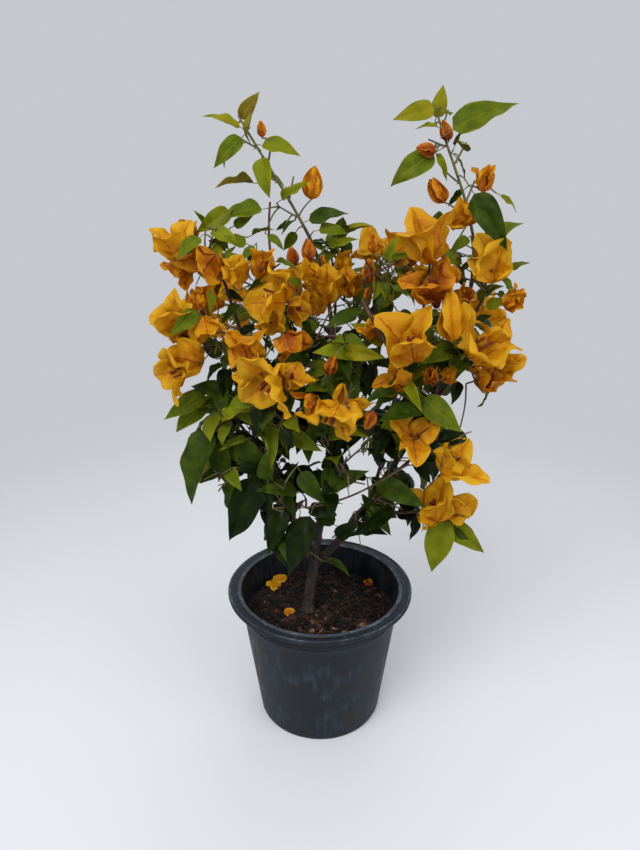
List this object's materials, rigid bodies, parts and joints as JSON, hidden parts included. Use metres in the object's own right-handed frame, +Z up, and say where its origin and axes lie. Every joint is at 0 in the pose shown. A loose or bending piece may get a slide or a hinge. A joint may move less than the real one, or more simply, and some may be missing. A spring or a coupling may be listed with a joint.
{
  "type": "potted bougainvillea bush",
  "caption": "Young bougainvillea bush with orange bracts and two tall leafy shoots, in a round black tapered nursery pot filled with coco chips and soil.",
  "frame": {"origin": "centre of the pot's flat underside", "axes": "+Z up along the pot's axis, -Y towards the side seen in the picture, +X to the right of it"},
  "size_m": [0.3639, 0.3429, 0.6444],
  "materials": {
    "pot": "dusty black plastic with a slight sheen",
    "soil": "moist reddish-brown coco husk chips and soil",
    "bark": "grey-brown bark, reddish on the young canes",
    "foliage": "dark to olive-green leaves with a soft gloss",
    "blossom": "papery orange-yellow bracts"
  },
  "bodies": {
    "root": {"pot": "pot", "soil": "soil", "trunk": "bark", "leader_right": "bark", "leader_centre": "bark", "leader_left": "bark", "bough_back_centre": "bark", "bough_back_left": "bark", "bough_back_low_left": "bark", "bough_back_low_right": "bark", "bough_back_right": "bark", "bough_back_top": "bark", "bough_centre_low": "bark", "bough_centre_right": "bark", "bough_centre_top": "bark", "bough_front": "bark", "bough_left_front": "bark", "bough_left_leafy": "bark", "bough_left_low": "bark", "bough_left_side": "bark", "bough_left_upper": "bark", "bough_low_centre": "bark", "bough_low_left": "bark", "bough_low_right": "bark", "bough_right_centre": "bark", "bough_right_hanging": "bark", "bough_right_inner": "bark", "bough_right_low": "bark", "bough_right_outer": "bark", "bough_right_upper": "bark", "mass_back_centre": "blossom", "mass_back_left": "blossom", "mass_back_low_left": "foliage", "mass_back_low_right": "foliage", "mass_back_right": "blossom", "mass_back_top": "blossom", "mass_centre_left": "blossom", "mass_centre_low": "foliage", "mass_centre_right": "blossom", "mass_centre_top": "blossom", "mass_front": "blossom", "mass_left_front": "blossom", "mass_left_leafy": "foliage", "mass_left_low": "foliage", "mass_left_side": "blossom", "mass_left_upper": "blossom", "mass_low_centre": "foliage", "mass_low_left": "foliage", "mass_low_right": "foliage", "mass_right_centre": "blossom", "mass_right_hanging": "blossom", "mass_right_inner": "blossom", "mass_right_low": "blossom", "mass_right_outer": "blossom", "mass_right_upper": "blossom", "shoot_left_tall": "foliage", "shoot_right_tall": "foliage"}
  },
  "joints": []
}
